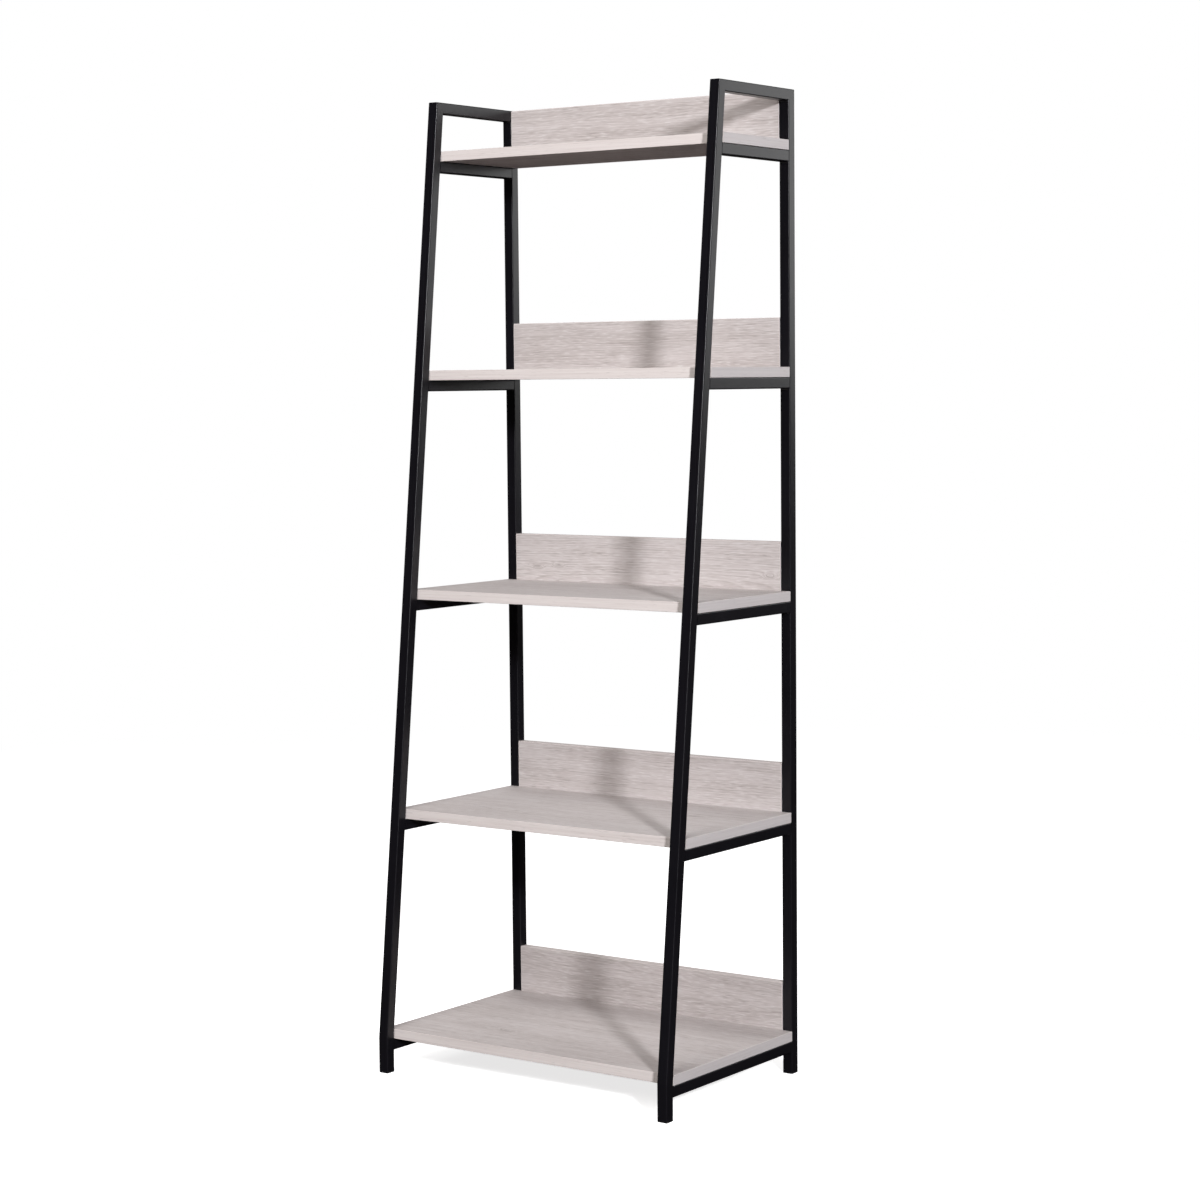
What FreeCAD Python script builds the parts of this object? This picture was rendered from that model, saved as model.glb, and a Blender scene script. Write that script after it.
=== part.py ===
"""Ladder shelf: two welded steel side frames, five boards and five low back panels.

The frame of the part: X runs across the width, -Y is the front, +Z is up.  The origin is on the
floor, in the middle of the footprint.  Shelves are numbered from the top, 1, to the bottom, 5.
All sizes are in millimetres.
"""
import FreeCAD, Part
import os

import Sketcher

NODE_FOLDER = "parts"
SHELF_COUNT = 5
SHELVES = range(1, SHELF_COUNT + 1)
SIDES = {"left": -1, "right": 1}
FIN_COUNT = 3
COUNTERSINK_ANGLE = 90
FACING_BACK = FreeCAD.Rotation(FreeCAD.Vector(1, 0, 0), -90)

# How edges are told apart: by direction, by place, and by length in tube widths.
X, Y, Z = 0, 1, 2
PARALLEL = 0.999
CLOSE = 0.01
LONG_EDGE = 1.5

doc = FreeCAD.newDocument("ladder_shelf")


# ---------------------------------------------------------------------------------------------
# Driving sizes
# ---------------------------------------------------------------------------------------------
SIZES = [
    ("width", 630, "outside width over both side frames"),
    ("height", 1750, "floor to the top of the side frames"),
    ("foot_depth", 420, "front of the front foot to the back of the rear leg"),
    ("top_depth", 240, "the same depth at the very top"),
    ("tube", 20, "outside of the square frame tube"),
    ("wall", 1.2, "wall of the frame tube"),
    ("corner", 2, "outside corner radius of the frame tube"),
    ("top_rise", 106, "top of the side frame above the seat of the top shelf"),
    ("lowest_seat", 60, "seat of the lowest shelf above the floor"),
    ("bend_rise", 6, "bend of the front leg above the seat of the lowest shelf"),
    ("board", 18, "thickness of the shelf boards"),
    ("panel", 18, "thickness of the back panels"),
    ("upstand", 87, "back panel above the top of its shelf"),
    ("banding", 1, "thickness of the edging strips"),
    ("edge_round", 0.8, "rounding on the outer edges of the edging strips"),
    ("leg_gap", 0.5, "front edge of a shelf to the front leg"),
    ("panel_gap", 0.5, "end of a back panel to the rear leg"),
    ("bolt_inset", 45, "shelf bolt to the end of its rail"),
    ("bolt_thread", 3, "radius of the shelf bolt's thread"),
    ("bolt_length", 12, "shelf bolt under its head"),
    ("bolt_head", 5.25, "radius of the shelf bolt's head"),
    ("bolt_head_rise", 3.3, "height of the shelf bolt's head"),
    ("bolt_crown", 3.15, "radius of the flat on top of the bolt's head"),
    ("bolt_rim", 1.5, "height of the upright rim of the bolt's head"),
    ("bolt_chamfer", 0.8, "chamfer on the tip of the shelf bolt"),
    ("bolt_play", 0.3, "rail hole larger than the bolt, on the radius"),
    ("tool_play", 1.25, "access hole larger than the bolt head, on the radius"),
    ("overcut", 1, "how far a cut goes past the tube wall it opens"),
    ("insert_wall", 1.5, "wall of the threaded insert"),
    ("insert_length", 12.5, "length of the threaded insert"),
    ("insert_spare", 0.5, "hole deeper than the threaded insert"),
    ("screw_pitch", 220, "spacing of the three screws in a back panel"),
    ("screw_head", 5, "radius of the back panel screw's head"),
    ("screw_shoulder", 3.5, "radius of its plain shoulder"),
    ("screw_shoulder_length", 12, "length of head and shoulder together"),
    ("screw_thread", 2.5, "radius of its thread"),
    ("screw_bite", 32, "how far the screw goes into the shelf"),
    ("screw_tip", 2.5, "length of its point"),
    ("dowel_pitch", 400, "spacing of the two dowels in a back panel"),
    ("dowel_radius", 4, "radius of the wooden dowels"),
    ("dowel_in_panel", 12, "dowel in the back panel"),
    ("dowel_in_board", 18, "dowel in the shelf"),
    ("dowel_spare", 0.5, "holes deeper than the dowel, at each end"),
    ("dowel_chamfer", 1, "chamfer on the dowel's ends"),
    ("socket_flats", 4, "hexagon socket across its flats"),
    ("socket_depth", 2, "depth of the hexagon sockets"),
    ("glide", 3, "thickness of a foot plug's head"),
    ("glide_chamfer", 0.8, "chamfer round the sole of a foot plug"),
    ("stem_length", 16, "foot plug's stem inside the tube"),
    ("stem_slack", 0.9, "tube bore to the stem, on each side"),
    ("fin", 1.2, "thickness of the fins round the stem"),
    ("fin_slack", 0.1, "tube bore to the fins, on each side"),
    ("fin_pitch", 5, "spacing of the fins"),
]

sizes = doc.addObject("Spreadsheet::Sheet", "sizes")
for row, (alias, value, note) in enumerate(SIZES, start=1):
    sizes.set(f"A{row}", note)
    sizes.set(f"B{row}", str(value))
    sizes.setAlias(f"B{row}", alias)
doc.recompute()


# ---------------------------------------------------------------------------------------------
# Places that several pieces share, as expressions on the sheet
# ---------------------------------------------------------------------------------------------
def s(alias):
    return f"sizes.{alias}"


BEND = f"({s('lowest_seat')} + {s('bend_rise')})"
LEAN = f"(({s('foot_depth')} - {s('top_depth')}) / ({s('height')} - {BEND}))"
FRONT = f"(-{s('foot_depth')} / 2)"
BACK = f"({s('foot_depth')} / 2)"
REAR_LEG_FRONT = f"({BACK} - {s('tube')})"
FRAME_MIDDLE = f"({s('width')} / 2 - {s('tube')} / 2)"
INNER_HALF = f"({s('width')} / 2 - {s('tube')})"
HALF_WIDTH = f"({s('width')} / 2)"
BORE = f"({s('tube')} - 2 * {s('wall')})"
LEVEL_STEP = f"(({s('height')} - {s('top_rise')} - {s('lowest_seat')}) / {SHELF_COUNT - 1})"
PANEL_HEIGHT = f"({s('board')} + {s('upstand')})"
INSERT_RADIUS = f"({s('bolt_thread')} + {s('insert_wall')})"


def seat(shelf):
    """Height of the rail tops that shelf `shelf` lies on."""
    return f"({s('lowest_seat')} + {SHELF_COUNT - shelf} * {LEVEL_STEP})"


def leg_line(height, inset):
    """Y of a line in the front leg, `inset` behind its front face, at `height`.

    The leg is upright below the bend and leans back above it, so the line further back wins.
    """
    upright = f"({FRONT} + {inset})"
    leaning = f"({FRONT} + {inset} / cos(atan({LEAN})) + {LEAN} * ({height} - {BEND}))"
    return f"max({upright}; {leaning})"


def leg_back(height):
    return leg_line(height, s("tube"))


def shelf_front(shelf):
    """Y of a shelf's front edge: just behind the leg, measured at the top of the board."""
    return f"({leg_back(seat(shelf) + ' + ' + s('board'))} + {s('leg_gap')})"


def shelf_bolt_places(shelf):
    return [f"({leg_back(seat(shelf))} + {s('bolt_inset')})", f"({REAR_LEG_FRONT} - {s('bolt_inset')})"]


SCREW_PLACES = [f"(-{s('screw_pitch')})", "0", s("screw_pitch")]
DOWEL_PLACES = [f"(-{s('dowel_pitch')} / 2)", f"({s('dowel_pitch')} / 2)"]


# ---------------------------------------------------------------------------------------------
# Helpers
# ---------------------------------------------------------------------------------------------
def number(expression):
    """The present value of an expression, for the sketch's starting shape."""
    return float(sizes.evalExpression(expression.replace("sizes.", "")))


def new_body(name):
    return doc.addObject("PartDesign::Body", name)


def new_sketch(body, name, role, lift="0"):
    """A sketch on one of the body's own origin planes, lifted along the plane's normal."""
    plane = [item for item in body.Origin.OriginFeatures if item.Role == role][0]
    sketch = body.newObject("Sketcher::SketchObject", name)
    sketch.AttachmentSupport = [(plane, "")]
    sketch.MapMode = "FlatFace"
    if lift != "0":
        sketch.setExpression("AttachmentOffset.Base.z", lift)
    return sketch


def pin_point(sketch, element, end, across, up):
    """Hold one end of a sketch element at a place given by two expressions."""
    for kind, expression in (("DistanceX", across), ("DistanceY", up)):
        index = sketch.addConstraint(
            Sketcher.Constraint(kind, -1, 1, element, end, number(expression)))
        sketch.setExpression(f"Constraints[{index}]", expression)


def draw_outline(sketch, corners):
    """A closed outline of straight lines through corners given as pairs of expressions."""
    places = [FreeCAD.Vector(number(across), number(up), 0) for across, up in corners]
    count = len(corners)
    for index in range(count):
        line = Part.LineSegment(places[index], places[(index + 1) % count])
        sketch.addGeometry(line, False)
    for index in range(count):
        sketch.addConstraint(
            Sketcher.Constraint("Coincident", index, 2, (index + 1) % count, 1))
    for index, (across, up) in enumerate(corners):
        pin_point(sketch, index, 1, across, up)


def draw_circles(sketch, centres, radius):
    for across, up in centres:
        middle = FreeCAD.Vector(number(across), number(up), 0)
        circle = Part.Circle(middle, FreeCAD.Vector(0, 0, 1), number(radius))
        index = sketch.addGeometry(circle, False)
        pin_point(sketch, index, 3, across, up)
        hold = sketch.addConstraint(Sketcher.Constraint("Radius", index, number(radius)))
        sketch.setExpression(f"Constraints[{hold}]", radius)


def rectangle(left, right, low, high):
    return [(left, low), (right, low), (right, high), (left, high)]


def pad(body, name, sketch, length, middle=False):
    feature = body.newObject("PartDesign::Pad", name)
    feature.Profile = sketch
    feature.Midplane = middle
    feature.setExpression("Length", length)
    doc.recompute()
    return feature


def pocket(body, name, sketch, length, middle=False, along_normal=False):
    """Cut into the body, against the sketch's normal unless `along_normal`; it must remove metal."""
    before = body.Tip.Shape.Volume
    feature = body.newObject("PartDesign::Pocket", name)
    feature.Profile = sketch
    feature.Midplane = middle
    feature.Reversed = along_normal
    feature.setExpression("Length", length)
    doc.recompute()
    if not feature.Shape.Volume < before:
        raise RuntimeError(f"{body.Label}: {name} cuts nothing")
    return feature


def round_edges(body, name, base, wanted, radius):
    """Fillet the edges of `base` for which `wanted(edge)` is true."""
    names = [f"Edge{index}" for index, edge in enumerate(base.Shape.Edges, start=1) if wanted(edge)]
    feature = body.newObject("PartDesign::Fillet", name)
    feature.Base = (base, names)
    feature.setExpression("Radius", radius)
    doc.recompute()
    return feature


def lies_along(edge, axis):
    """True for a straight edge parallel to an axis."""
    ends = [vertex.Point for vertex in edge.Vertexes]
    if len(ends) != 2:
        return False
    run = ends[1] - ends[0]
    return abs(run[axis]) > PARALLEL * run.Length


def edges_at(axis, across, level):
    """A test for edges that run along one axis and lie at `level` on another."""
    def test(edge):
        return lies_along(edge, axis) and abs(edge.CenterOfMass[across] - level) < CLOSE
    return test


def block(name, left, right, front, back, thickness, rounded=None):
    """A rectangular board on the XY plane, with chosen edges rounded as the edging strips are."""
    body = new_body(name)
    sketch = new_sketch(body, f"{name}_outline", "XY_Plane")
    draw_outline(sketch, rectangle(left, right, front, back))
    solid = pad(body, f"{name}_board", sketch, thickness)
    if rounded:
        round_edges(body, f"{name}_rounding", solid, rounded, s("edge_round"))
    return body


def turned(name, profile):
    """A piece turned about Z from corners given as pairs of radius and height expressions."""
    body = new_body(name)
    sketch = new_sketch(body, f"{name}_profile", "XZ_Plane")
    draw_outline(sketch, profile)
    feature = body.newObject("PartDesign::Revolution", f"{name}_turning")
    feature.Profile = sketch
    feature.ReferenceAxis = (sketch, ["V_Axis"])
    feature.Angle = 360
    doc.recompute()
    return body


def cut_socket(body, lift, upward=False):
    """A hexagon socket in the end of a turned piece, going down, or upward, from height `lift`."""
    sketch = new_sketch(body, f"{body.Name}_socket_outline", "XY_Plane", lift)
    reach = f"({s('socket_flats')} / 2 / cos(30 deg))"
    corners = [(f"({reach} * cos({60 * turn} deg))", f"({reach} * sin({60 * turn} deg))")
               for turn in range(6)]
    draw_outline(sketch, corners)
    pocket(body, f"{body.Name}_socket", sketch, s("socket_depth"), along_normal=upward)


def place(item, across="0", along="0", up="0"):
    for axis, expression in zip("xyz", (across, along, up)):
        if expression != "0":
            item.setExpression(f"Placement.Base.{axis}", expression)


def copies(name, pattern, places, turn=None):
    """One node of many separate, identical pieces, each a link to the pattern piece."""
    links = []
    for index, (across, along, up) in enumerate(places, start=1):
        link = doc.addObject("App::Link", f"{pattern.Name}_{index}")
        link.LinkedObject = pattern
        if turn:
            link.Placement = FreeCAD.Placement(FreeCAD.Vector(), turn)
        place(link, across, along, up)
        links.append(link)
    group = doc.addObject("Part::Compound", name)
    group.Links = links
    return group


def gather(name, pieces):
    """One node of a few separate pieces that belong together."""
    group = doc.addObject("Part::Compound", name)
    group.Links = pieces
    return group


# ---------------------------------------------------------------------------------------------
# Side frames: square tube, mitred at the top corners, with a rail under each shelf
# ---------------------------------------------------------------------------------------------
def tube_piece(name, outline, bore_outline, side):
    """A length of square tube from its side view and the side view of its bore."""
    body = new_body(name)
    shape = new_sketch(body, f"{name}_side_view", "YZ_Plane")
    draw_outline(shape, outline)
    bar = pad(body, f"{name}_bar", shape, s("tube"), middle=True)
    long_enough = LONG_EDGE * number(s("tube"))
    round_edges(body, f"{name}_corners", bar, lambda edge: edge.Length > long_enough, s("corner"))
    hollow = new_sketch(body, f"{name}_bore_view", "YZ_Plane")
    draw_outline(hollow, bore_outline)
    pocket(body, f"{name}_bore", hollow, BORE, middle=True)
    place(body, across=f"{SIDES[side]} * {FRAME_MIDDLE}")
    return body


def top_corner_front(inset):
    """Point on the mitre between front leg and top rail, `inset` in from the outside faces."""
    outer = f"({FRONT} + {s('foot_depth')} - {s('top_depth')})"
    inner = leg_back(f"({s('height')} - {s('tube')})")
    share = f"({inset} / {s('tube')})"
    return (f"({outer} + ({inner} - {outer}) * {share})", f"({s('height')} - {inset})")


def top_corner_rear(inset):
    return (f"({BACK} - {inset})", f"({s('height')} - {inset})")


def bend_point(inset):
    """Point on the bisector of the front leg's bend, `inset` behind its front face."""
    return (f"({FRONT} + {inset})", f"({BEND} - {inset} * tan(atan({LEAN}) / 2))")


NEAR = s("wall")
FAR = f"({s('tube')} - {s('wall')})"


def front_leg(side):
    def view(front, back):
        return [(f"({FRONT} + {front})", s("glide")), (f"({FRONT} + {back})", s("glide")),
                bend_point(back), top_corner_front(back), top_corner_front(front), bend_point(front)]
    return tube_piece(f"{side}_front_leg", view("0", s("tube")), view(NEAR, FAR), side)


def rear_leg(side):
    def view(front, back):
        return [(f"({BACK} - {back})", s("glide")), (f"({BACK} - {front})", s("glide")),
                top_corner_rear(front), top_corner_rear(back)]
    return tube_piece(f"{side}_rear_leg", view("0", s("tube")), view(NEAR, FAR), side)


def top_rail(side):
    def view(upper, lower):
        return [top_corner_front(upper), top_corner_front(lower),
                top_corner_rear(lower), top_corner_rear(upper)]
    return tube_piece(f"{side}_top_rail", view("0", s("tube")), view(NEAR, FAR), side)


def shelf_rail(side, shelf):
    name = f"{side}_shelf_rail_{shelf}"
    top = seat(shelf)
    underside = f"({top} - {s('tube')})"

    def view(upper, lower):
        high = f"({top} - {upper})"
        low = f"({top} - {lower})"
        return [(leg_back(low), low), (REAR_LEG_FRONT, low),
                (REAR_LEG_FRONT, high), (leg_back(high), high)]

    body = tube_piece(name, view("0", s("tube")), view(NEAR, FAR), side)
    centres = [("0", along) for along in shelf_bolt_places(shelf)]
    cut = f"({s('wall')} + {s('overcut')})"
    holes = new_sketch(body, f"{name}_bolt_hole_centres", "XY_Plane", top)
    draw_circles(holes, centres, f"({s('bolt_thread')} + {s('bolt_play')})")
    pocket(body, f"{name}_bolt_holes", holes, cut)
    access = new_sketch(body, f"{name}_access_hole_centres", "XY_Plane", underside)
    draw_circles(access, centres, f"({s('bolt_head')} + {s('tool_play')})")
    pocket(body, f"{name}_access_holes", access, cut, along_normal=True)
    return body


def foot_plug(name, side, along):
    """Ribbed plastic plug pressed up into a leg; its head is the sole the shelf stands on."""
    body = new_body(name)
    half = f"({s('tube')} / 2)"
    sole = new_sketch(body, f"{name}_sole_outline", "XY_Plane")
    draw_outline(sole, rectangle(f"-{half}", half, f"-{half}", half))
    head = pad(body, f"{name}_head", sole, s("glide"))
    corners = round_edges(body, f"{name}_corners", head, lambda edge: lies_along(edge, Z), s("corner"))
    rim = [f"Edge{index}" for index, edge in enumerate(corners.Shape.Edges, start=1)
           if edge.BoundBox.ZMax < CLOSE]
    chamfer = body.newObject("PartDesign::Chamfer", f"{name}_sole_chamfer")
    chamfer.Base = (corners, rim)
    chamfer.setExpression("Size", s("glide_chamfer"))
    doc.recompute()

    core = f"({BORE} / 2 - {s('stem_slack')})"
    stem = new_sketch(body, f"{name}_stem_outline", "XY_Plane", s("glide"))
    draw_outline(stem, rectangle(f"-{core}", core, f"-{core}", core))
    pad(body, f"{name}_stem", stem, s("stem_length"))

    reach = f"({BORE} / 2 - {s('fin_slack')})"
    fin = new_sketch(body, f"{name}_fin_outline", "XY_Plane", f"{s('glide')} + {s('fin')}")
    draw_outline(fin, rectangle(f"-{reach}", reach, f"-{reach}", reach))
    first_fin = pad(body, f"{name}_fin", fin, s("fin"))
    fins = body.newObject("PartDesign::LinearPattern", f"{name}_fins")
    fins.Originals = [first_fin]
    fins.Direction = (fin, ["N_Axis"])
    fins.Occurrences = FIN_COUNT
    fins.setExpression("Length", f"{FIN_COUNT - 1} * {s('fin_pitch')}")
    body.Tip = fins
    doc.recompute()
    place(body, across=f"{SIDES[side]} * {FRAME_MIDDLE}", along=along)
    return body


# ---------------------------------------------------------------------------------------------
# Boards, panels and their edging
# ---------------------------------------------------------------------------------------------
def shelf_board(shelf):
    """Core of one shelf, with holes for its inserts below and for screws and dowels behind."""
    name = f"shelf_board_{shelf}"
    half = f"({HALF_WIDTH} - {s('banding')})"
    body = block(name, f"-{half}", half, f"({shelf_front(shelf)} + {s('banding')})",
                 REAR_LEG_FRONT, s("board"))

    below = new_sketch(body, f"{name}_insert_hole_centres", "XY_Plane")
    centres = [(f"({sign} * {FRAME_MIDDLE})", along)
               for sign in SIDES.values() for along in shelf_bolt_places(shelf)]
    draw_circles(below, centres, INSERT_RADIUS)
    pocket(body, f"{name}_insert_holes", below, f"({s('insert_length')} + {s('insert_spare')})",
           along_normal=True)

    middle = f"({s('board')} / 2)"
    pilots = new_sketch(body, f"{name}_pilot_hole_centres", "XZ_Plane", f"-{REAR_LEG_FRONT}")
    draw_circles(pilots, [(across, middle) for across in SCREW_PLACES], s("screw_thread"))
    pocket(body, f"{name}_pilot_holes", pilots, s("screw_bite"), along_normal=True)
    sockets = new_sketch(body, f"{name}_dowel_hole_centres", "XZ_Plane", f"-{REAR_LEG_FRONT}")
    draw_circles(sockets, [(across, middle) for across in DOWEL_PLACES], s("dowel_radius"))
    pocket(body, f"{name}_dowel_holes", sockets, f"({s('dowel_in_board')} + {s('dowel_spare')})",
           along_normal=True)
    place(body, up=seat(shelf))
    return body


def shelf_edging(shelf):
    """Three strips glued round a shelf: one along the front, and one on each end behind it."""
    front = shelf_front(shelf)
    behind = f"({front} + {s('banding')})"
    name = f"shelf_edging_{shelf}"
    strips = [block(f"{name}_front", f"-{HALF_WIDTH}", HALF_WIDTH, front, behind, s("board"),
                    edges_at(X, Y, number(front)))]
    for side, sign in SIDES.items():
        outside = f"({sign} * {HALF_WIDTH})"
        inside = f"({sign} * ({HALF_WIDTH} - {s('banding')}))"
        low, high = sorted([outside, inside], key=number)
        strips.append(block(f"{name}_{side}", low, high, behind, REAR_LEG_FRONT, s("board"),
                            edges_at(Y, X, number(outside))))
    for strip in strips:
        place(strip, up=seat(shelf))
    return gather(name, strips)


def back_panel(shelf):
    """Core of one low back panel, standing behind its shelf and between the rear legs."""
    name = f"back_panel_{shelf}"
    half = f"({INNER_HALF} - {s('panel_gap')} - {s('banding')})"
    body = new_body(name)
    face = new_sketch(body, f"{name}_outline", "XZ_Plane", f"-{REAR_LEG_FRONT}")
    draw_outline(face, rectangle(f"-{half}", half, s("banding"), f"({PANEL_HEIGHT} - {s('banding')})"))
    solid = pad(body, f"{name}_board", face, s("panel"))
    solid.Reversed = True
    doc.recompute()

    middle = f"({s('board')} / 2)"
    rear_face = f"-({REAR_LEG_FRONT} + {s('panel')})"
    through = new_sketch(body, f"{name}_screw_hole_centres", "XZ_Plane", rear_face)
    draw_circles(through, [(across, middle) for across in SCREW_PLACES], s("screw_shoulder"))
    holes = body.newObject("PartDesign::Hole", f"{name}_screw_holes")
    holes.Profile = through
    doc.recompute()
    before = solid.Shape.Volume
    holes.Reversed = True
    holes.DepthType = "ThroughAll"
    holes.HoleCutType = "Countersink"
    holes.HoleCutCustomValues = True
    holes.HoleCutCountersinkAngle = COUNTERSINK_ANGLE
    holes.setExpression("Diameter", f"2 * {s('screw_shoulder')}")
    holes.setExpression("HoleCutDiameter", f"2 * {s('screw_head')}")
    doc.recompute()
    if not holes.Shape.Volume < before:
        raise RuntimeError(f"{name}: the screw holes cut nothing")

    sockets = new_sketch(body, f"{name}_dowel_hole_centres", "XZ_Plane", f"-{REAR_LEG_FRONT}")
    draw_circles(sockets, [(across, middle) for across in DOWEL_PLACES], s("dowel_radius"))
    pocket(body, f"{name}_dowel_holes", sockets, f"({s('dowel_in_panel')} + {s('dowel_spare')})")
    place(body, up=seat(shelf))
    return body


def panel_edging(shelf):
    """Four strips glued round a back panel: top and bottom full length, the ends between them."""
    name = f"back_panel_edging_{shelf}"
    half = f"({INNER_HALF} - {s('panel_gap')})"
    inside = f"({half} - {s('banding')})"
    back = f"({REAR_LEG_FRONT} + {s('panel')})"
    strips = []
    for end, low, outer_face in (("bottom", "0", "0"),
                                 ("top", f"({PANEL_HEIGHT} - {s('banding')})", s("banding"))):
        strip = block(f"{name}_{end}", f"-{half}", half, REAR_LEG_FRONT, back, s("banding"),
                      edges_at(X, Z, number(outer_face)))
        place(strip, up=f"{seat(shelf)} + {low}")
        strips.append(strip)
    for side, sign in SIDES.items():
        low, high = sorted([f"({sign} * {half})", f"({sign} * {inside})"], key=number)
        strip = block(f"{name}_{side}", low, high, REAR_LEG_FRONT, back,
                      f"({PANEL_HEIGHT} - 2 * {s('banding')})")
        place(strip, up=f"{seat(shelf)} + {s('banding')}")
        strips.append(strip)
    return gather(name, strips)


# ---------------------------------------------------------------------------------------------
# Fasteners: one pattern piece each, then a node of copies
# ---------------------------------------------------------------------------------------------
def shelf_bolts():
    """Socket button-head bolts that go up through a rail's upper wall into the shelf."""
    crown = f"(-{s('bolt_head_rise')})"
    tip = s("bolt_length")
    bolt = turned("shelf_bolt", [
        ("0", crown), (s("bolt_crown"), crown),
        (s("bolt_head"), f"(-{s('bolt_rim')})"), (s("bolt_head"), "0"),
        (s("bolt_thread"), "0"), (s("bolt_thread"), f"({tip} - {s('bolt_chamfer')})"),
        (f"({s('bolt_thread')} - {s('bolt_chamfer')})", tip), ("0", tip)])
    cut_socket(bolt, crown, upward=True)
    places = [(f"{sign} * {FRAME_MIDDLE}", along, f"{seat(shelf)} - {s('wall')}")
              for shelf in SHELVES for sign in SIDES.values() for along in shelf_bolt_places(shelf)]
    return copies("shelf_bolts", bolt, places)


def threaded_inserts():
    insert = turned("threaded_insert", [
        (s("bolt_thread"), "0"), (INSERT_RADIUS, "0"),
        (INSERT_RADIUS, s("insert_length")), (s("bolt_thread"), s("insert_length"))])
    places = [(f"{sign} * {FRAME_MIDDLE}", along, seat(shelf))
              for shelf in SHELVES for sign in SIDES.values() for along in shelf_bolt_places(shelf)]
    return copies("threaded_inserts", insert, places)


def panel_screws():
    """Countersunk shouldered screws, from the back of a panel into the rear edge of its shelf."""
    length = f"({s('panel')} + {s('screw_bite')})"
    cone = f"({s('screw_head')} - {s('screw_shoulder')})"
    screw = turned("panel_screw", [
        ("0", "0"), (s("screw_head"), "0"), (s("screw_shoulder"), f"-{cone}"),
        (s("screw_shoulder"), f"-{s('screw_shoulder_length')}"),
        (s("screw_thread"), f"-{s('screw_shoulder_length')}"),
        (s("screw_thread"), f"-({length} - {s('screw_tip')})"), ("0", f"-{length}")])
    cut_socket(screw, "0")
    places = [(across, f"{REAR_LEG_FRONT} + {s('panel')}", f"{seat(shelf)} + {s('board')} / 2")
              for shelf in SHELVES for across in SCREW_PLACES]
    return copies("panel_screws", screw, places, FACING_BACK)


def panel_dowels():
    """Beech dowels that line each panel up with its shelf."""
    low = f"-{s('dowel_in_board')}"
    high = s("dowel_in_panel")
    waist = f"({s('dowel_radius')} - {s('dowel_chamfer')})"
    dowel = turned("panel_dowel", [
        ("0", low), (waist, low), (s("dowel_radius"), f"({low} + {s('dowel_chamfer')})"),
        (s("dowel_radius"), f"({high} - {s('dowel_chamfer')})"), (waist, high), ("0", high)])
    places = [(across, REAR_LEG_FRONT, f"{seat(shelf)} + {s('board')} / 2")
              for shelf in SHELVES for across in DOWEL_PLACES]
    return copies("panel_dowels", dowel, places, FACING_BACK)


# ---------------------------------------------------------------------------------------------
# Assembly
# ---------------------------------------------------------------------------------------------
nodes = []
for side in SIDES:
    nodes.append(front_leg(side))
    nodes.append(rear_leg(side))
    nodes.append(top_rail(side))
    for shelf in SHELVES:
        nodes.append(shelf_rail(side, shelf))
    nodes.append(foot_plug(f"{side}_front_foot_plug", side, f"{FRONT} + {s('tube')} / 2"))
    nodes.append(foot_plug(f"{side}_rear_foot_plug", side, f"{BACK} - {s('tube')} / 2"))
for shelf in SHELVES:
    nodes.append(shelf_board(shelf))
    nodes.append(shelf_edging(shelf))
    nodes.append(back_panel(shelf))
    nodes.append(panel_edging(shelf))
nodes.append(shelf_bolts())
nodes.append(threaded_inserts())
nodes.append(panel_screws())
nodes.append(panel_dowels())
doc.recompute()

for item in doc.Objects:
    if "Invalid" in item.State or "Error" in item.State:
        raise RuntimeError(f"{item.Label} failed: {item.State}")
for node in nodes:
    if node.Shape.isNull() or not node.Shape.isValid():
        raise RuntimeError(f"{node.Label} has no valid shape")

os.makedirs(NODE_FOLDER, exist_ok=True)
for node in nodes:
    node.Shape.exportStep(os.path.join(NODE_FOLDER, f"{node.Label}.step"))
    box = node.Shape.BoundBox
    print(f"{node.Label}: {len(node.Shape.Solids)} solid(s), {node.Shape.Volume / 1000:.1f} cm3, "
          f"X {box.XMin:.1f} to {box.XMax:.1f}, Y {box.YMin:.1f} to {box.YMax:.1f}, "
          f"Z {box.ZMin:.1f} to {box.ZMax:.1f}")
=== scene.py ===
# %% [markdown]
# # A ladder shelf in black steel and whitewashed board
#
# The shelf is already modelled piece by piece in CAD: two welded frames of square tube, five
# boards, five low back panels, their edging strips and their fasteners. Those shapes are exact,
# so they stay as they are. What this lesson adds is what CAD can't say: how each surface looks
# close up, the weld seams, and the studio that it all stands in.
#
# The first cell brings the CAD pieces in. They arrive in metres, with X across the width, -Y at
# the front and Z up, standing on the floor.

# %% Bring in the shelf
import math

import bmesh
import bpy
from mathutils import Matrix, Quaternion, Vector


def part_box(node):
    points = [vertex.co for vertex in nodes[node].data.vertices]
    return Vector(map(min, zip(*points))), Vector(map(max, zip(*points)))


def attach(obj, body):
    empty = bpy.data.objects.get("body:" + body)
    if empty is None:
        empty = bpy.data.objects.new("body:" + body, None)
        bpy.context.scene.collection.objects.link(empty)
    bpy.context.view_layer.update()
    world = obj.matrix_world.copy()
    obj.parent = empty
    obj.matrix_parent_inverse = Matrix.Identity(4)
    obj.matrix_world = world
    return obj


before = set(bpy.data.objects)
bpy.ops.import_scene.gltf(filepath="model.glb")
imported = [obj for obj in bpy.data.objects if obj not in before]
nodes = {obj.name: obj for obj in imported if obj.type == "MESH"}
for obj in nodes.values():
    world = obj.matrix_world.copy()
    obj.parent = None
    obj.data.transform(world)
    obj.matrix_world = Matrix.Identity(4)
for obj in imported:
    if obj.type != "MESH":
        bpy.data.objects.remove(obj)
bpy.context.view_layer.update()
SHELVES = range(1, 6)
SIDES = ("left", "right")

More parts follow.
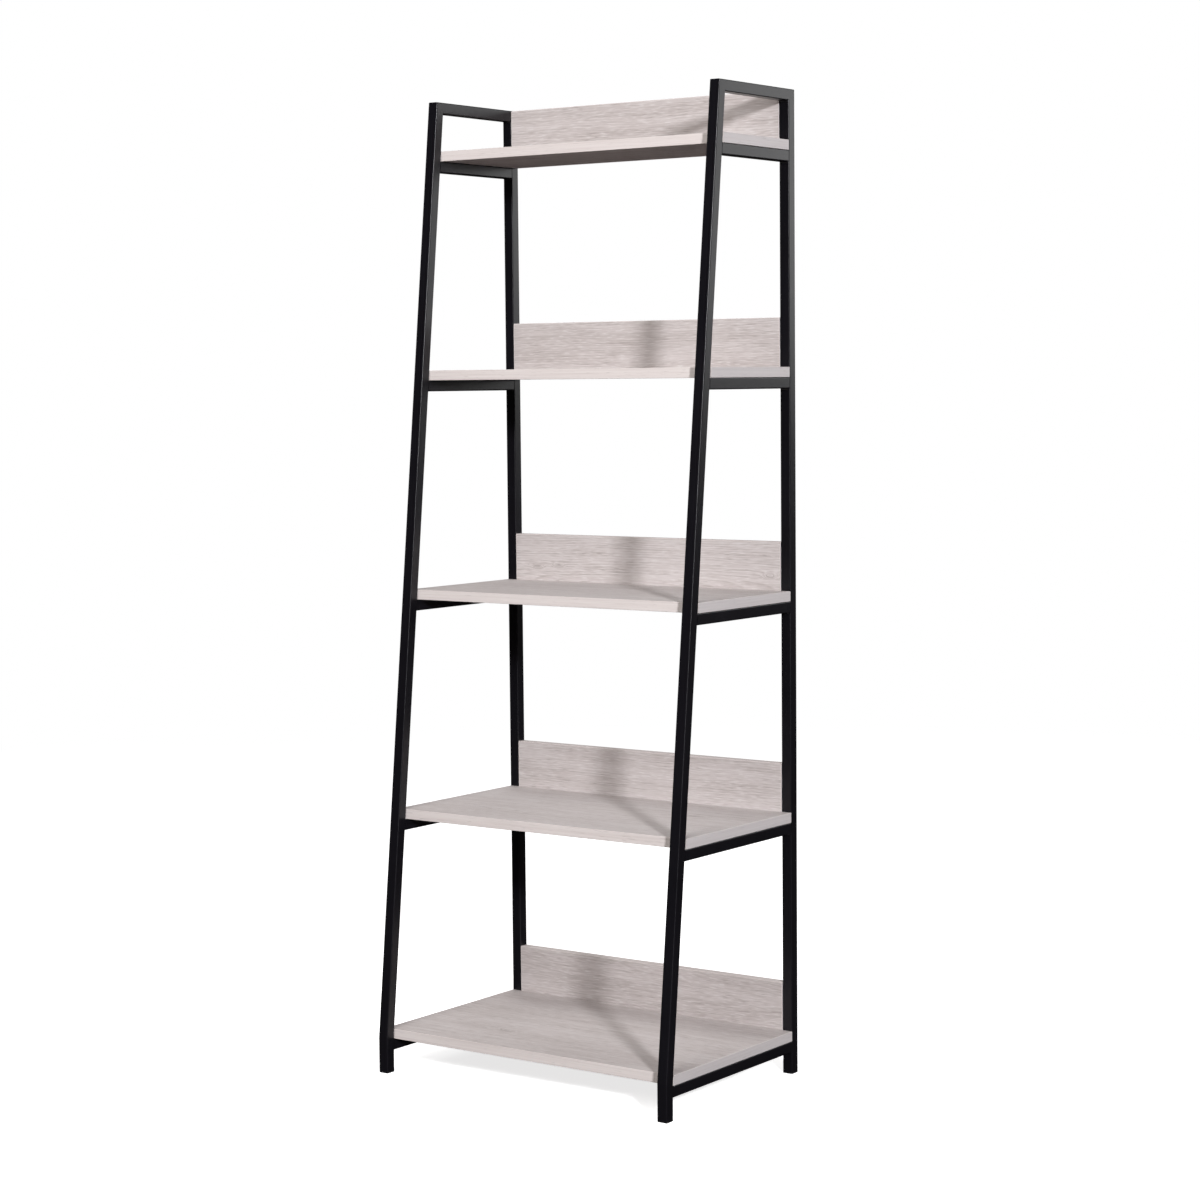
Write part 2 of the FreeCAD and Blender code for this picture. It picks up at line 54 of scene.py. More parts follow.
# %% [markdown]
# ## A short way to write shaders
#
# A Blender material is a graph: boxes for noise, maths and colour, joined by links. Placed by
# hand that is quick to see, but in a script the boxes and links soon hide the idea. So a `Value`
# wraps one output of a node and knows what to do when it is added to or multiplied, and the line
# `tone = 1 - 0.4 * streaks` reads as the sum that it is while it builds the Math nodes.
#
# A `Recipe` is the graph that those nodes go in. Every node that isn't plain maths comes from its
# one method `add`, which takes the kind of node, what goes in its sockets, and its settings.

# %% Values and recipes
class Value:
    """One output of a node. Maths on it adds Math nodes to the same recipe."""

    def __init__(self, recipe, socket):
        self.recipe = recipe
        self.socket = socket

    def maths(self, operation, first, *others):
        return self.recipe.add("ShaderNodeMath", [first, *others], operation=operation)

    def __add__(self, other):
        return self.maths("ADD", self, other)

    def __radd__(self, other):
        return self.maths("ADD", other, self)

    def __sub__(self, other):
        return self.maths("SUBTRACT", self, other)

    def __rsub__(self, other):
        return self.maths("SUBTRACT", other, self)

    def __mul__(self, other):
        return self.maths("MULTIPLY", self, other)

    def __rmul__(self, other):
        return self.maths("MULTIPLY", other, self)

    def __truediv__(self, other):
        return self.maths("DIVIDE", self, other)

    def __rtruediv__(self, other):
        return self.maths("DIVIDE", other, self)

    def __pow__(self, other):
        return self.maths("POWER", self, other)


class Recipe:
    """The nodes of one material or of the world."""

    def __init__(self, tree):
        self.tree = tree
        self.tree.nodes.clear()

    def add(self, kind, sockets=(), output=0, stops=None, **settings):
        """A node. `sockets` lists its inputs in order, or names them in a dict."""
        node = self.tree.nodes.new(kind)
        for name, setting in settings.items():
            setattr(node, name, setting)
        if stops:
            set_stops(node.color_ramp, stops)
        named = sockets.items() if isinstance(sockets, dict) else enumerate(sockets)
        for key, content in named:
            if isinstance(content, Value):
                self.tree.links.new(content.socket, node.inputs[key])
            else:
                node.inputs[key].default_value = content
        return Value(self, node.outputs[output]) if node.outputs else None


def set_stops(ramp, stops):
    """Gives a colour ramp its stops, as pairs of a position and a colour."""
    while len(ramp.elements) < len(stops):
        ramp.elements.new(1.0)
    for element, (position, colour) in zip(ramp.elements, stops):
        element.position = position
        element.color = (*colour, 1.0)


print("shader kit ready")

# %% [markdown]
# ## Small helpers that every finish uses
#
# Colours on real objects are talked about in the numbers that a screen shows, but a shader works
# with light, so `light_of` turns one into the other. `spread` takes a noise, which hovers round a
# half, and stretches the part between two levels to the full range from 0 to 1. `drawn_out` is
# noise that is long in one direction and thin in the others, and it makes grain, brush marks and
# drips alike: the coordinates are divided by the size of the mark before the noise is looked up.

# %% Colour, spread and drawn-out noise
def light_of(red, green, blue):
    """A screen colour, 0 to 255, as the linear colour that a shader needs."""
    def channel(value):
        share = value / 255
        return share / 12.92 if share <= 0.04045 else ((share + 0.055) / 1.055) ** 2.4
    return (channel(red), channel(green), channel(blue))


# The Mix node has one set of sockets for each kind of data; these are the ones for colours.
MIX_AMOUNT, MIX_LOW, MIX_HIGH = 0, 6, 7
MIXED_COLOUR = 2


def mix(recipe, amount, low, high):
    """Two colours mixed: all `low` where `amount` is 0, all `high` where it is 1."""
    ends = [end if isinstance(end, Value) else (*end, 1.0) for end in (low, high)]
    return recipe.add("ShaderNodeMix", {MIX_AMOUNT: amount, MIX_LOW: ends[0], MIX_HIGH: ends[1]},
                      output=MIXED_COLOUR, data_type="RGBA")


def spread(recipe, value, low, high, top=1.0):
    """`value` from `low` to `high`, stretched to run from 0 to `top` and held there."""
    return recipe.add("ShaderNodeMapRange", [value, low, high, 0.0, top], clamp=True)


def place_on(recipe):
    """The three coordinates of a point on the piece, in metres."""
    point = recipe.add("ShaderNodeTexCoord", output="Object")
    split = recipe.add("ShaderNodeSeparateXYZ", [point]).socket.node
    return [Value(recipe, socket) for socket in split.outputs]


def drawn_out(recipe, place, size, detail=2.0, roughness=0.5, seed=0.0):
    """Noise whose marks have a `size` along each of the three directions, in metres."""
    scaled = [axis / length + seed for axis, length in zip(place, size)]
    where = recipe.add("ShaderNodeCombineXYZ", scaled)
    return recipe.add("ShaderNodeTexNoise", {"Vector": where, "Scale": 1.0, "Detail": detail,
                                             "Roughness": roughness})


def bumps(recipe, height, depth, strength=1.0, under=None):
    """Relief `depth` metres high where `height` goes from 0 to 1."""
    sockets = {"Strength": strength, "Distance": depth, "Height": height}
    if under:
        sockets["Normal"] = under
    return recipe.add("ShaderNodeBump", sockets)


def finish_of(name, build):
    """A material whose recipe `build` writes; it returns the shader for the surface."""
    material = bpy.data.materials.new(name)
    material.use_nodes = True
    recipe = Recipe(material.node_tree)
    surface = build(recipe)
    recipe.add("ShaderNodeOutputMaterial", {"Surface": surface})
    print(f"finish {name}: {len(material.node_tree.nodes)} nodes")
    return material


def give(piece, material):
    """The piece's own material slot takes the new finish."""
    piece.material_slots[0].material = material


print(f"a screen grey of 128 gives back {light_of(128, 128, 128)[0]:.3f} of the light")

# %% [markdown]
# ## The frame: satin black powder coat
#
# Powder coat is a plastic powder baked on to the steel. It is never quite flat: it has a fine
# orange peel, a millimetre or two across and only microns deep, and its sheen wanders a little
# where the powder lay thicker. A plain black with one roughness would look like a hole in the
# picture, so here both the colour and the roughness move slightly, and two sizes of relief break
# up the highlight that runs down the rounded corners of the tube. The powder's grains don't melt
# together completely either, so close up the black is finely speckled. Where hands and boards rub
# along the tube it gets a touch lighter and glossier, in long faint smears.

# %% Powder coat
COAT_BLACK = light_of(15, 14, 18)
COAT_WORN = light_of(27, 26, 31)
PEEL_SIZE = (0.0016, 0.0016, 0.0016)
GRIT_SIZE = (0.0004, 0.0004, 0.0004)
PEEL_DEPTH = 0.00004
GRIT_DEPTH = 0.000012


def powder_coat(recipe):
    place = place_on(recipe)
    peel = drawn_out(recipe, place, PEEL_SIZE, detail=1.0)
    grit = drawn_out(recipe, place, GRIT_SIZE, detail=0.0, seed=4.0)
    cloud = drawn_out(recipe, place, (0.06, 0.06, 0.11), detail=3.0, seed=9.0)
    smear = drawn_out(recipe, place, (0.006, 0.006, 0.05), detail=2.0, seed=2.0)
    rubbed = spread(recipe, smear, 0.58, 0.75) * spread(recipe, cloud, 0.5, 0.65)
    speckle = spread(recipe, 0.5 * grit + 0.5 * peel, 0.50, 0.62, top=0.45)
    colour = mix(recipe, spread(recipe, cloud, 0.3, 0.7, top=0.25) + speckle + 0.3 * rubbed,
                 COAT_BLACK, COAT_WORN)
    roughness = 0.25 + 0.07 * cloud + 0.03 * peel - 0.05 * rubbed
    relief = bumps(recipe, grit, GRIT_DEPTH, under=bumps(recipe, peel, PEEL_DEPTH))
    return recipe.add("ShaderNodeBsdfPrincipled", {
        "Base Color": colour, "Roughness": roughness, "Normal": relief,
        "Specular IOR Level": 0.36})


coat = finish_of("satin_black_powder_coat", powder_coat)
TUBES = ["front_leg", "rear_leg", "top_rail"] + [f"shelf_rail_{shelf}" for shelf in SHELVES]
for side in SIDES:
    for tube in TUBES:
        give(nodes[f"{side}_{tube}"], coat)

# %% [markdown]
# ## Weld seams
#
# Each rail is welded to its legs. The seams that show are ground flush, but the one tucked under
# the rail, where it meets the leg, is left as laid: a small fillet with the ripples of a row of
# overlapping drops, covered by the same powder coat. A fillet could be a plain triangular strip,
# but it is the ripples that catch the light, so the strip is built ring by ring. Each ring is a
# quarter round, pulled in a little in the middle, whose reach swells and shrinks along the seam.

# %% One bead
BEAD_REACH = 0.0026
BEAD_RIPPLE = 0.14
DROP_PITCH = 0.0021
BEAD_HALF_LENGTH = 0.0082
RINGS_PER_DROP = 6
ARC_POINTS = 5
PULLED_IN = 0.24
END_REACH = 0.35
END_SWELL = 8
SUNK = 0.0004


def add_bead(mesh, corner, along_rail, along_leg):
    """A fillet across the tube at `corner`, reaching out along the two faces that meet there."""
    count = round(2 * BEAD_HALF_LENGTH / DROP_PITCH * RINGS_PER_DROP)
    rings = []
    for step in range(count + 1):
        share = step / count
        ripple = abs(math.sin(math.pi * step / RINGS_PER_DROP))
        taper = min(1.0, END_REACH + END_SWELL * min(share, 1 - share))
        reach = BEAD_REACH * taper * (1 - BEAD_RIPPLE + BEAD_RIPPLE * ripple)
        across = Vector(((2 * share - 1) * BEAD_HALF_LENGTH, 0, 0))
        ring = [mesh.verts.new(corner + across - SUNK * (along_rail + along_leg))]
        for turn in range(ARC_POINTS):
            angle = math.pi / 2 * turn / (ARC_POINTS - 1)
            hollow = 1 - PULLED_IN * math.sin(2 * angle)
            out = along_rail * math.cos(angle) + along_leg * math.sin(angle)
            ring.append(mesh.verts.new(corner + across + out * reach * hollow))
        rings.append(ring)
    for first, second in zip(rings, rings[1:]):
        size = len(first)
        for index in range(size):
            after = (index + 1) % size
            mesh.faces.new((first[index], first[after], second[after], second[index]))
    mesh.faces.new(rings[0][::-1])
    mesh.faces.new(rings[-1])


print(f"a bead of {2 * BEAD_HALF_LENGTH / DROP_PITCH:.0f} drops, {1000 * BEAD_REACH} mm wide")

# %% [markdown]
# On each frame the beads sit in twelve corners: in front of and behind each of the six
# rails. The front leg leans, so the bead there follows the lean, except under the lowest rail,
# which meets the upright foot. The lean is read from the front ends of two rails.

# %% Beads under the rails
LOWEST_SHELF = 5


def weld_seams(side):
    """All the beads of one side frame, as one piece."""
    mesh = bmesh.new()
    leg_low, leg_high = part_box(f"{side}_rear_leg")
    middle = (leg_low.x + leg_high.x) / 2
    first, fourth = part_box(f"{side}_shelf_rail_1")[0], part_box(f"{side}_shelf_rail_4")[0]
    down_leaning = Vector((0, fourth.y - first.y, fourth.z - first.z)).normalized()
    down = Vector((0, 0, -1))
    backwards = Vector((0, 1, 0))
    corners = [(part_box(f"{side}_front_leg")[1].y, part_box(f"{side}_top_rail")[0].z, down_leaning)]
    for shelf in SHELVES:
        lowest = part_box(f"{side}_shelf_rail_{shelf}")[0]
        down_leg = down if shelf == LOWEST_SHELF else down_leaning
        corners.append((lowest.y, lowest.z, down_leg))
    for y, z, down_leg in corners:
        add_bead(mesh, Vector((middle, y, z)), backwards, down_leg)
        add_bead(mesh, Vector((middle, leg_low.y, z)), -backwards, down)
    bmesh.ops.recalc_face_normals(mesh, faces=mesh.faces)
    shape = bpy.data.meshes.new(f"{side}_weld_seams")
    mesh.to_mesh(shape)
    mesh.free()
    for face in shape.polygons:
        face.use_smooth = len(face.vertices) == 4
    seams = bpy.data.objects.new(f"{side}_weld_seams", shape)
    bpy.context.scene.collection.objects.link(seams)
    shape.materials.append(coat)
    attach(seams, "root")
    print(f"{side} frame: {2 * len(corners)} beads, {len(shape.polygons)} faces")


for side in SIDES:
    weld_seams(side)

# %% [markdown]
# ## The boards: a whitewashed wood print
#
# The shelves are chipboard with a printed face: pale, slightly pink wood whose pores were filled
# with white. The print has four layers, from large to small. The broad tone drifts along the
# board. The year rings of a log, cut lengthways, make long nested arcs. Fibres and finer hairs run
# along the board as streaks one to three millimetres thick. And pores make short dashes, some dark
# and some filled with white, which thin out in patches. The face is matt, so its gloss is low.
#
# The arcs come from geometry, not from a picture. A log is a set of tubes one inside another, and
# a flat cut that runs slightly askew through them shows ovals. So each point's distance from the
# heart of an imagined log is worked out, the heart line being tilted a little against the board,
# and the fraction left over after dividing by the ring spacing says where in a ring it lies.
# Noise bends the distance, as growth does in a real tree. Near a knot the fibres swerve, which is
# done by pushing the distance aside in a small oval.
#
# Every board and panel gets its own heart line, so that no two look alike, as no two cuts do.

# %% Colours and sizes of the print
WOOD_DARK = light_of(172, 163, 160)
WOOD_MIDDLE = light_of(199, 191, 189)
WOOD_LIGHT = light_of(212, 206, 205)
PORE_DARK = light_of(140, 130, 126)
PORE_WHITE = light_of(228, 225, 224)
RING_SPACING = 0.0046
SWAY_SIZE = (0.26, 0.05, 0.05)
SHIVER_SIZE = (0.06, 0.010, 0.010)
BROAD_SIZE = (0.45, 0.030, 0.030)
FIBRE_SIZE = (0.24, 0.0026, 0.0026)
HAIR_SIZE = (0.09, 0.0014, 0.0014)
DASH_SIZE = (0.018, 0.0012, 0.0012)
PATCH_SIZE = (0.14, 0.010, 0.010)
SWAY_REACH = 0.014
SHIVER_REACH = 0.0006
KNOT_REACH = 0.009
PRINT_DEPTH = 0.00006
BOARD_GLOSS = 0.22
print(f"year rings {1000 * RING_SPACING} mm apart, fibres {1000 * FIBRE_SIZE[1]} mm thick")


# %% Whitewashed print
def around_knot(recipe, along, across, knot):
    """1 in the middle of a knot, falling to 0 round it; a knot is a place and a size."""
    (knot_along, knot_across), (length, width) = knot
    out = ((along - knot_along) / length) ** 2.0 + ((across - knot_across) / width) ** 2.0
    return 1.0 / (1.0 + out * out)


def whitewashed(lowest, upright, heart, tilt, figure, lightness_with_painted_shade, knots, seed):
    """The print for one board, as a function that writes its recipe.

    `lowest` is the board's lowest corner and `upright` is true for a panel. `heart` is where the
    log's heart lies, along and across the visible face, and `tilt` is how fast it leans away.
    `figure` is how strongly the year rings show, and `lightness_with_painted_shade` how light the
    whole board is: its print, with painted shade and light set piece by piece.
    """
    def build(recipe):
        x, y, z = place_on(recipe)
        across, deep = (z - lowest.z, y - lowest.y) if upright else (y - lowest.y, z - lowest.z)
        sway = drawn_out(recipe, (x, y, z), SWAY_SIZE, detail=1.0, seed=seed) - 0.5
        shiver = drawn_out(recipe, (x, y, z), SHIVER_SIZE, detail=1.0, seed=seed + 3) - 0.5
        bend = SWAY_REACH * sway + SHIVER_REACH * shiver
        shade = 0.0
        for knot in knots:
            near = around_knot(recipe, x, across, knot)
            bend = bend + KNOT_REACH * near
            shade = near * near + shade
        beside = across + bend - heart[1]
        away = deep + tilt * (x - heart[0]) + 0.5 * bend
        distance = (beside * beside + away * away) ** 0.5
        ring = recipe.add("ShaderNodeMath", [distance / RING_SPACING], operation="FRACT")
        late = ring ** 2.0 * spread(recipe, ring, 1.0, 0.86)

        flow = (x, y + bend, z + bend)
        broad = drawn_out(recipe, flow, BROAD_SIZE, detail=2.0, seed=seed + 11)
        fibre = drawn_out(recipe, flow, FIBRE_SIZE, detail=2.0, seed=seed + 17)
        hair = drawn_out(recipe, flow, HAIR_SIZE, detail=1.0, seed=seed + 23)
        dash = drawn_out(recipe, flow, DASH_SIZE, detail=0.0, seed=seed + 31)
        patch = drawn_out(recipe, flow, PATCH_SIZE, detail=1.0, seed=seed + 41)

        # The lightness set for each piece is partly painted shade and light, not only the print's
        # tone.
        tone = (lightness_with_painted_shade + 0.42 * (broad - 0.5) + 0.22 * (fibre - 0.5) + 0.42 * (hair - 0.5)
                - figure * late * spread(recipe, patch, 0.20, 0.70))
        pore = spread(recipe, dash, 0.60, 0.74) * spread(recipe, patch, 0.30, 0.65)
        wash = spread(recipe, dash, 0.42, 0.28)
        colour = recipe.add("ShaderNodeValToRGB", [tone], stops=[
            (0.22, WOOD_DARK), (0.50, WOOD_MIDDLE), (0.74, WOOD_LIGHT)])
        colour = mix(recipe, 0.40 * pore, colour, PORE_DARK)
        colour = mix(recipe, 0.35 * wash, colour, PORE_WHITE)
        if knots:
            colour = mix(recipe, shade * (0.15 + 0.5 * late), colour, PORE_DARK)
        roughness = 0.58 + 0.10 * (fibre - 0.5) + 0.12 * pore
        relief = bumps(recipe, fibre * 0.4 + hair * 0.3 - 0.6 * pore, PRINT_DEPTH, 0.6)
        return recipe.add("ShaderNodeBsdfPrincipled", {
            "Base Color": colour, "Roughness": roughness, "Normal": relief,
            "Specular IOR Level": BOARD_GLOSS})
    return build


print("the print's recipe is ready; every board and panel gets a cut of its own")

# %% [markdown]
# Which cut each piece shows is chosen here, and so is how strong its year rings are and how light
# it is. The boards are cut well away from the heart, so their figure is long and quiet. The third
# panel from the top shows the strongest rings, as low arcs, with two small knots near its left end
# and one at its right end, and the two lowest boards have one knot each. The panels are a little
# darker than the boards. That lightness is painted shade and light as well as print, set piece by
# piece for how much light reaches each.

# %% A cut for every board and panel
# Each cut's lightness is painted shade and light as well as print: the third and fourth boards are
# lighter and the lowest board is darker.
BOARD_CUTS = {
    1: dict(heart=(0.60, 0.09), tilt=0.060, figure=0.22, lightness_with_painted_shade=0.57, knots=[]),
    2: dict(heart=(-0.55, 0.16), tilt=0.055, figure=0.22, lightness_with_painted_shade=0.57, knots=[]),
    3: dict(heart=(0.70, 0.12), tilt=0.050, figure=0.22, lightness_with_painted_shade=0.61, knots=[]),
    4: dict(heart=(-0.60, 0.20), tilt=0.055, figure=0.22, lightness_with_painted_shade=0.61,
            knots=[((0.19, 0.21), (0.020, 0.007))]),
    5: dict(heart=(0.50, 0.15), tilt=0.060, figure=0.22, lightness_with_painted_shade=0.52,
            knots=[((-0.12, 0.10), (0.022, 0.008))]),
}
# Painted shade: the panels are darker than the boards, and the first, second and fifth are darkest.
PANEL_CUTS = {
    1: dict(heart=(0.70, 0.20), tilt=0.040, figure=0.22, lightness_with_painted_shade=0.47, knots=[]),
    2: dict(heart=(-0.60, 0.18), tilt=0.045, figure=0.22, lightness_with_painted_shade=0.46, knots=[]),
    3: dict(heart=(-0.02, 0.018), tilt=0.075, figure=0.42, lightness_with_painted_shade=0.57,
            knots=[((-0.245, 0.042), (0.014, 0.0045)), ((-0.195, 0.046), (0.012, 0.004)),
                   ((0.272, 0.042), (0.012, 0.005))]),
    4: dict(heart=(0.65, 0.16), tilt=0.040, figure=0.22, lightness_with_painted_shade=0.51, knots=[]),
    5: dict(heart=(-0.50, 0.06), tilt=0.050, figure=0.20, lightness_with_painted_shade=0.46, knots=[]),
}
BOARD_SEED = 7.0
PANEL_SEED = 40.0
for kind, cuts, upright in (("shelf_board", BOARD_CUTS, False), ("back_panel", PANEL_CUTS, True)):
    for shelf, cut in cuts.items():
        piece = f"{kind}_{shelf}"
        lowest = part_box(piece)[0]
        seed = BOARD_SEED * shelf + PANEL_SEED * upright
        build = whitewashed(lowest, upright, seed=seed, **cut)
        give(nodes[piece], finish_of(f"whitewashed_{piece}", build))

# %% [markdown]
# ## The edging strips
#
# The cut edges are covered with strips a millimetre thick, printed to match. A strip's print
# always runs along the strip, so on the ends of a shelf it runs from front to back, and on the
# ends of a panel it runs up. One finish can do all of them if it looks at which way the surface
# faces: wherever it faces along X it is the end of a board. A mask made of the normal's X picks
# between the two directions. On the ends it also mixes in a darker grey, which is painted shade.

# %% Edging print
STRIP_DARK = light_of(194, 184, 180)
STRIP_MIDDLE = light_of(218, 209, 206)
STRIP_LIGHT = light_of(231, 224, 221)
# Painted shade: the ends of the strips are mixed towards this darker grey.
STRIP_END_PAINTED_SHADE = light_of(188, 188, 192)
STRIP_DEPTH = 0.00005
ALONG_Y = 1
ALONG_Z = 2


def edging(end_axis):
    """The strip print. On the ends of a board its fibres run along `end_axis`."""
    def build(recipe):
        place = place_on(recipe)
        normal = recipe.add("ShaderNodeTexCoord", output="Normal")
        facing = Value(recipe, recipe.add("ShaderNodeSeparateXYZ", [normal]).socket.node.outputs[0])
        on_end = spread(recipe, facing * facing, 0.45, 0.55)

        def fibres(length, thickness, seed):
            run = drawn_out(recipe, place, (length, thickness, thickness), seed=seed)
            end_size = [thickness] * 3
            end_size[end_axis] = length
            end = drawn_out(recipe, place, end_size, seed=seed + 5)
            return run * (1 - on_end) + end * on_end

        broad = fibres(0.30, 0.012, 1.0)
        fibre = fibres(0.16, 0.0024, 13.0)
        dash = fibres(0.024, 0.0011, 27.0)
        tone = 0.55 + 0.20 * (broad - 0.5) + 0.45 * (fibre - 0.5)
        pore = spread(recipe, dash, 0.62, 0.74)
        colour = recipe.add("ShaderNodeValToRGB", [tone], stops=[
            (0.22, STRIP_DARK), (0.50, STRIP_MIDDLE), (0.74, STRIP_LIGHT)])
        colour = mix(recipe, 0.35 * pore, colour, PORE_DARK)
        # Painted shade: where the strip faces along X, on a board's end, it is mixed darker and
        # greyer.
        colour = mix(recipe, 0.4 * on_end, colour, STRIP_END_PAINTED_SHADE)
        relief = bumps(recipe, fibre * 0.5 - 0.5 * pore, STRIP_DEPTH, 0.6)
        return recipe.add("ShaderNodeBsdfPrincipled", {
            "Base Color": colour, "Roughness": 0.46 + 0.12 * fibre, "Normal": relief,
            "Specular IOR Level": BOARD_GLOSS})
    return build


shelf_strip = finish_of("edging_of_shelves", edging(ALONG_Y))
panel_strip = finish_of("edging_of_panels", edging(ALONG_Z))
for shelf in SHELVES:
    give(nodes[f"shelf_edging_{shelf}"], shelf_strip)
    give(nodes[f"back_panel_edging_{shelf}"], panel_strip)

# %% [markdown]
# ## Plugs and fasteners
#
# The foot plugs are moulded in black plastic, with the fine even texture of a spark-eroded mould
# and scuffs on the sole. The bolts are black oxide, which is a dark stain on steel with a warm
# cast; the threaded inserts are turned brass; the screws behind the panels are zinc plated, which
# is slightly blue with a mottle, and part of their pale colour is painted sheen, shown as plain
# diffuse colour; the dowels are bare beech with its short dark flecks. Turned pieces show rings
# round their axis, so the noise for them is thin along the axis and long across it.

# %% Moulded plastic
PLASTIC_BLACK = light_of(20, 20, 21)
PLASTIC_SCUFFED = light_of(70, 68, 66)
MOULD_DEPTH = 0.00003


def moulded_plastic(recipe):
    place = place_on(recipe)
    texture = drawn_out(recipe, place, (0.0007, 0.0007, 0.0007), detail=2.0)
    scuff = spread(recipe, drawn_out(recipe, place, (0.009, 0.0012, 0.02), seed=6.0), 0.60, 0.72)
    near_floor = spread(recipe, place[2], 0.0012, 0.0)
    worn = scuff * (0.25 + 0.75 * near_floor)
    colour = mix(recipe, worn, PLASTIC_BLACK, PLASTIC_SCUFFED)
    relief = bumps(recipe, texture, MOULD_DEPTH)
    return recipe.add("ShaderNodeBsdfPrincipled", {
        "Base Color": colour, "Roughness": 0.55 + 0.15 * texture + 0.1 * worn, "Normal": relief})


plastic = finish_of("moulded_black_plastic", moulded_plastic)
for side in SIDES:
    for end in ("front", "rear"):
        give(nodes[f"{side}_{end}_foot_plug"], plastic)


# %% Fastener finishes
TURNED_DEPTH = 0.00002
BEECH_PORE_DEPTH = 0.00008
BEECH_DARK = light_of(196, 158, 116)
BEECH_LIGHT = light_of(222, 190, 150)
BEECH_FLECK = light_of(140, 96, 62)


def metal(dark, bright, mark, roughness, true_metal_share=1.0):
    """A metal between two colours, with tool marks of the size `mark`.

    `true_metal_share` is 1 for a clean metal; below 1 part of the colour shows as plain diffuse
    colour, a painted sheen that looks like bright metal under any lamp.
    """
    def build(recipe):
        place = place_on(recipe)
        mottle = drawn_out(recipe, place, (0.004, 0.004, 0.004), detail=3.0)
        fine = drawn_out(recipe, place, mark, detail=1.0, seed=8.0)
        colour = mix(recipe, spread(recipe, 0.6 * mottle + 0.4 * fine, 0.35, 0.65), dark, bright)
        # Below 1, true_metal_share lets the metal's colour show as diffuse colour too, which is
        # painted sheen.
        return recipe.add("ShaderNodeBsdfPrincipled", {
            "Base Color": colour, "Metallic": true_metal_share,
            "Roughness": roughness + 0.16 * mottle + 0.06 * fine,
            "Normal": bumps(recipe, fine, TURNED_DEPTH)})
    return build


def beech(recipe):
    place = place_on(recipe)
    fibre = drawn_out(recipe, place, (0.0010, 0.012, 0.0010))
    fleck = spread(recipe, drawn_out(recipe, place, (0.0006, 0.003, 0.0006), seed=5.0), 0.62, 0.70)
    colour = mix(recipe, spread(recipe, fibre, 0.3, 0.7), BEECH_DARK, BEECH_LIGHT)
    colour = mix(recipe, 0.6 * fleck, colour, BEECH_FLECK)
    return recipe.add("ShaderNodeBsdfPrincipled", {
        "Base Color": colour, "Roughness": 0.6 + 0.15 * fibre,
        "Normal": bumps(recipe, fibre, BEECH_PORE_DEPTH)})


black_oxide = metal(light_of(34, 32, 31), light_of(62, 58, 56),
                    mark=(0.0008, 0.0008, 0.0003), roughness=0.34)
turned_brass = metal(light_of(168, 130, 72), light_of(214, 178, 112),
                     mark=(0.004, 0.004, 0.0002), roughness=0.24)
# Painted sheen: the zinc's pale colour shows partly as diffuse colour.
zinc_plate = metal(light_of(158, 162, 168), light_of(206, 209, 214),
                   mark=(0.0012, 0.0003, 0.0012), roughness=0.30, true_metal_share=0.4)
give(nodes["shelf_bolts"], finish_of("black_oxide", black_oxide))
give(nodes["threaded_inserts"], finish_of("turned_brass", turned_brass))
give(nodes["panel_screws"], finish_of("zinc_plate", zinc_plate))
give(nodes["panel_dowels"], finish_of("bare_beech", beech))

# %% [markdown]
# ## The studio
#
# The shelf stands on a plain pale floor that melts into a white backdrop. Two things make that
# work. Close to the shelf the floor is partly lit like anything else, so it takes soft shadows;
# further out it only glows by itself and meets the white of the world without a line. And neither
# of them lights the shelf much: what the camera sees as white is nearly dark for every other ray,
# because a black frame in a white room would look grey.

# %% Floor and backdrop
FLOOR_SIZE = 60.0
FLOOR_FADE = (1.2, 5.0)
FLOOR_GLOW = 0.75
FLOOR_DARK = light_of(224, 224, 224)
FLOOR_LIGHT = light_of(232, 232, 232)
WHITE = (1.0, 1.0, 1.0, 1.0)
AMBIENT = 0.08
AMBIENT_IN_GLOSS = 0.02
AMBIENT_TINT = (1.0, 0.86, 0.83, 1.0)


def floor_finish(recipe):
    x, y, z = place_on(recipe)
    out = (x * x + y * y) ** 0.5
    fade = spread(recipe, out, *FLOOR_FADE)
    mottle = drawn_out(recipe, (x, y, z), (0.5, 0.5, 0.5), detail=3.0)
    paint = mix(recipe, spread(recipe, mottle, 0.3, 0.7), FLOOR_DARK, FLOOR_LIGHT)
    lit = recipe.add("ShaderNodeBsdfDiffuse", {"Color": paint, "Roughness": 0.5})
    base = recipe.add("ShaderNodeEmission", {"Color": WHITE, "Strength": FLOOR_GLOW})
    both = recipe.add("ShaderNodeAddShader", [lit, base])
    far = recipe.add("ShaderNodeEmission", {"Color": WHITE, "Strength": 1.0})
    return recipe.add("ShaderNodeMixShader", [fade, both, far])


floor_mesh = bpy.data.meshes.new("floor")
half = FLOOR_SIZE / 2
floor_mesh.from_pydata([(-half, -half, 0), (half, -half, 0), (half, half, 0), (-half, half, 0)],
                       [], [(0, 1, 2, 3)])
floor = bpy.data.objects.new("floor", floor_mesh)
bpy.context.scene.collection.objects.link(floor)
floor_mesh.materials.append(finish_of("pale_floor", floor_finish))
floor.visible_diffuse = False
floor.visible_glossy = False

world = bpy.data.worlds.new("studio")
bpy.context.scene.world = world
world.use_nodes = True
room = Recipe(world.node_tree)
seen = room.add("ShaderNodeLightPath", output="Is Camera Ray")
in_gloss = room.add("ShaderNodeLightPath", output="Is Glossy Ray")
brightness = AMBIENT - (AMBIENT - AMBIENT_IN_GLOSS) * in_gloss
white = room.add("ShaderNodeBackground", {"Color": WHITE, "Strength": 1.0})
dim = room.add("ShaderNodeBackground", {"Color": AMBIENT_TINT, "Strength": brightness})
room.add("ShaderNodeOutputWorld", {"Surface": room.add("ShaderNodeMixShader", [seen, dim, white])})
print("floor and backdrop in place")

